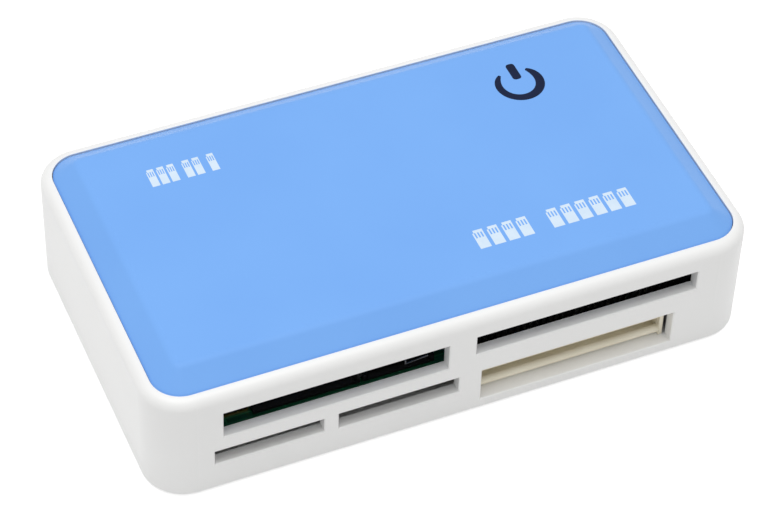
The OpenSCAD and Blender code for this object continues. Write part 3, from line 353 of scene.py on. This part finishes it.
# the front of the lower jaw goes, and so does a groove behind the bar
join_solid(ivory, block((inner_low, front - past, socket_low.z - past),
                        (inner_high, front + bar_r, jaw_top)), "DIFFERENCE")
join_solid(ivory, block((inner_low, front + 0.5 * MM, groove_floor),
                        (inner_high, front + groove_end, jaw_top)), "DIFFERENCE")
clear_selection()
bpy.ops.mesh.primitive_cylinder_add(vertices=48, radius=bar_r, depth=inner_high - inner_low + 0.4 * MM,
                                    location=((inner_low + inner_high) / 2, front + bar_r, bar_z),
                                    rotation=(0, pi / 2, 0))
round_bar = bpy.context.object
bpy.ops.object.transform_apply(location=True, rotation=True, scale=True)
join_solid(ivory, round_bar, "UNION")
pick(ivory)
bpy.ops.object.shade_smooth_by_angle(angle=radians(30))
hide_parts("thin_card_socket")
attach(ivory, "root")
print("ivory socket", len(ivory.data.polygons), "faces", [round(c / MM, 2) for c in ivory.dimensions])

# %% [markdown]
# ## Printed marks
#
# The cover carries a dark power sign and two short rows of white marks. Printing ink lies on the plastic
# as a skin a few hundredths of a millimetre thick, so each mark is a thin solid on the raised panel.

# %% Inks and the printing level
panel_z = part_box("top_cover")[1].z
INK_T = 0.02 * MM
# Navy pad-printing ink, dull when dry
navy_ink = moulded_plastic("navy_ink", "0B1B40", "091838", 0.45, 2, 0.2, 0.001, IOR=1.5,
                           Specular_IOR_Level=0.2)
# White pad-printing ink, thin enough to let some of the blue through
white_ink = moulded_plastic("white_ink", "D9EAFA", "D3E6F8", 0.45, 2, 0.2, 0.001, IOR=1.5)


def finish_mark(piece, name, ink):
    """Gives a flat face its ink thickness, and sets it on the cover as a piece of its own."""
    bpy.ops.object.mode_set(mode="EDIT")
    bpy.ops.mesh.select_all(action="SELECT")
    bpy.ops.mesh.remove_doubles(threshold=0.001 * MM)
    bpy.ops.mesh.extrude_region_move(TRANSFORM_OT_translate={"value": (0, 0, INK_T)})
    bpy.ops.mesh.select_all(action="SELECT")
    bpy.ops.mesh.normals_make_consistent(inside=False)
    bpy.ops.object.mode_set(mode="OBJECT")
    bpy.ops.object.transform_apply(location=True, rotation=True, scale=True)
    piece.name = name
    piece.data.name = name
    piece.data.materials.clear()
    piece.data.materials.append(ink)
    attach(piece, "root")
    return piece


print("panel at", round(panel_z / MM, 2), "mm")

# %% [markdown]
# ## Power sign
#
# The sign is a ring that is open at the top, with a short bar in the opening. Its stroke is a little
# thicker at the right and runs out thin at both ends. A circle is doubled, and one copy moves out and
# the other in, by half of the stroke at each angle.

# %% Power sign: ring
sign_x, sign_y = 32.42 * MM, 16.1 * MM
ring_r = 3.95 * MM
stroke = 1.6 * MM
gap_half = radians(39)
segments = 96
# the taper's power, the stroke's share that is left at the ends, and its extra share at the right
TAPER, END_SHARE, LEAN = 6, 0.25, 0.1


def direction_of(v):
    """Direction from the sign's centre to a vertex, in the plane of the cover."""
    return Vector((v.co.x - sign_x, v.co.y - sign_y)).normalized()


clear_selection()
bpy.ops.mesh.primitive_circle_add(vertices=segments, radius=ring_r, fill_type="NOTHING",
                                  location=(sign_x, sign_y, panel_z))
ring = bpy.context.object
bpy.ops.object.transform_apply(location=True)
# the vertices in the opening go, and what is left is doubled for the two sides of the stroke
select_where(ring, "VERT", lambda v: Vector((0, 1)).angle(direction_of(v)) < gap_half)
bpy.ops.mesh.delete(type="VERT")
bpy.ops.mesh.select_all(action="SELECT")
bpy.ops.mesh.extrude_edges_move(TRANSFORM_OT_translate={"value": (0, 0, 0)})
bpy.ops.object.mode_set(mode="OBJECT")


def stroke_at(angle):
    """Half the stroke's width at an angle from straight down, thinner towards both ends."""
    full = max(0.0, 1 - (abs(angle) / (pi - gap_half)) ** TAPER)
    lean = 1 + LEAN * sin(angle)
    return stroke / 2 * (END_SHARE + (1 - END_SHARE) * full) * lean


# the doubled vertices are still selected: they move out, and the others move in
for v in ring.data.vertices:
    d = direction_of(v)
    angle = -Vector((0, -1)).angle_signed(d)
    side = 1 if v.select else -1
    r = ring_r + side * stroke_at(angle)
    v.co.x, v.co.y = sign_x + d.x * r, sign_y + d.y * r
finish_mark(ring, "power_sign_ring", navy_ink)
print("ring", [round(c / MM, 2) for c in ring.dimensions])

# %% Power sign: bar
bar_w, bar_l = 1.7 * MM, 4.3 * MM
bar_shift, bar_rise = 0.25 * MM, 3.1 * MM
clear_selection()
bpy.ops.mesh.primitive_plane_add(size=1, location=(sign_x + bar_shift, sign_y + bar_rise, panel_z))
bar = bpy.context.object
bar.scale = (bar_w, bar_l, 1)
bpy.ops.object.transform_apply(location=True, rotation=True, scale=True)
bpy.ops.object.mode_set(mode="EDIT")
bpy.ops.mesh.select_all(action="SELECT")
bpy.ops.mesh.bevel(offset=bar_w * 0.36, segments=6, affect="VERTICES")
finish_mark(bar, "power_sign_bar", navy_ink)
print("bar", [round(c / MM, 2) for c in bar.dimensions])

# %% [markdown]
# ## White marks
#
# Two short rows of small white marks stand on the cover. Each one is a filled memory card with a cut
# corner and three contact windows near its top, a plain sign for what the slots take. A mark is drawn
# as a grid of cells, in which the cells of the windows are left out.

# %% White card marks
CELLS = 7
WINDOW_COLUMNS, WINDOW_ROWS = (1, 3, 5), (4, 5)


def in_window(face):
    """True for a cell of the grid that is part of a contact window."""
    column, row = int((face.center.x + 0.5) * CELLS), int((face.center.y + 0.5) * CELLS)
    return column in WINDOW_COLUMNS and row in WINDOW_ROWS


def card_mark(name, x, y, w, h):
    """A small filled card with a cut corner and contact windows. The place is its lower left corner."""
    clear_selection()
    bpy.ops.mesh.primitive_grid_add(x_subdivisions=CELLS, y_subdivisions=CELLS, size=1,
                                    location=(0, 0, 0))
    card = bpy.context.object
    select_where(card, "FACE", in_window)
    bpy.ops.mesh.delete(type="FACE")
    select_where(card, "VERT", lambda v: v.co.x < -0.49 and v.co.y > 0.49)
    bpy.ops.mesh.delete(type="VERT")
    bpy.ops.object.mode_set(mode="OBJECT")
    card.location = (x + w / 2, y + h / 2, panel_z)
    card.scale = (w, h, 1)
    bpy.ops.object.transform_apply(location=True, rotation=True, scale=True)
    return finish_mark(card, name, white_ink)


# each row: its name, the place of its lower edge, the width and height of a mark, and the left edges
mark_rows = [
    ("lower_mark", -20.4, 2.1, 4.6, [8.4, 11.2, 14.0, 16.8, 22.7, 25.5, 28.3, 31.1, 33.9, 36.7]),
    ("upper_mark", 14.95, 1.45, 4.4, [-40.0, -38.1, -36.2, -33.3, -31.4, -28.6]),
]
marks = [card_mark(f"{name}_{i + 1}", x * MM, y * MM, w * MM, h * MM)
         for name, y, w, h, places in mark_rows for i, x in enumerate(places)]
print(len(marks), "white marks")

# %% [markdown]
# ## Studio
#
# The photo has a plain white ground and soft light from above. The floor is white to the camera and
# still takes a soft shadow. The world lights evenly, and one large lamp above adds a direction.

# %% Floor
# how much the floor adds of its own light for the camera, and how far it lies below the feet
FLOOR_GLOW, FLOOR_DROP = 0.62, 0.02 * MM
clear_selection()
bpy.ops.mesh.primitive_plane_add(size=12, location=(0, 0, -FLOOR_DROP))
floor = bpy.context.object
floor.name = "studio_floor"
ground, tree, shader, place = start_material("studio_paper", Roughness=0.9)
shader.inputs["Base Color"].default_value = colour("E6E6E6")
rays = add_node(tree, "ShaderNodeLightPath")
glow = add_node(tree, "ShaderNodeEmission", None, {"Color": (1, 1, 1, 1), "Strength": FLOOR_GLOW})
both = add_node(tree, "ShaderNodeAddShader")
tree.links.new(shader.outputs["BSDF"], both.inputs[0])
tree.links.new(glow.outputs["Emission"], both.inputs[1])
seen = add_node(tree, "ShaderNodeMath", {"operation": "MAXIMUM"})
tree.links.new(rays.outputs["Is Camera Ray"], seen.inputs[0])
tree.links.new(rays.outputs["Is Glossy Ray"], seen.inputs[1])
seen_all = add_node(tree, "ShaderNodeMath", {"operation": "MAXIMUM"})
tree.links.new(seen.outputs["Value"], seen_all.inputs[0])
tree.links.new(rays.outputs["Is Transmission Ray"], seen_all.inputs[1])
mix = add_node(tree, "ShaderNodeMixShader", None, {"Fac": seen_all.outputs["Value"]})
tree.links.new(shader.outputs["BSDF"], mix.inputs[1])
tree.links.new(both.outputs["Shader"], mix.inputs[2])
tree.links.new(mix.outputs["Shader"], tree.nodes["Material Output"].inputs["Surface"])
floor.data.materials.append(ground)
print("floor laid")

# %% World and lamps
SKY_LEVEL = 0.57
world = bpy.data.worlds.new("studio")
bpy.context.scene.world = world
world.use_nodes = True
tree = world.node_tree
sky = tree.nodes["Background"]
sky.inputs["Color"].default_value = (1, 1, 1, 1)
sky.inputs["Strength"].default_value = SKY_LEVEL
shown = add_node(tree, "ShaderNodeBackground", None, {"Color": (1, 1, 1, 1), "Strength": 1.0})
rays = add_node(tree, "ShaderNodeLightPath")
mix = add_node(tree, "ShaderNodeMixShader", None, {"Fac": rays.outputs["Is Camera Ray"]})
tree.links.new(sky.outputs["Background"], mix.inputs[1])
tree.links.new(shown.outputs["Background"], mix.inputs[2])
tree.links.new(mix.outputs["Shader"], tree.nodes["World Output"].inputs["Surface"])


def soft_lamp(name, place, watts, size):
    """A square lamp that looks at the reader."""
    light = bpy.data.lights.new(name, "AREA")
    light.energy = watts
    light.size = size
    lamp = bpy.data.objects.new(name, light)
    lamp.location = place
    lamp.rotation_euler = (-Vector(place)).to_track_quat("-Z", "Y").to_euler()
    bpy.context.scene.collection.objects.link(lamp)
    return lamp


soft_lamp("lamp_above", (-0.1, -0.02, 0.94), 4.7, 0.7)
bpy.context.scene.view_settings.view_transform = "Standard"
print("studio lit")
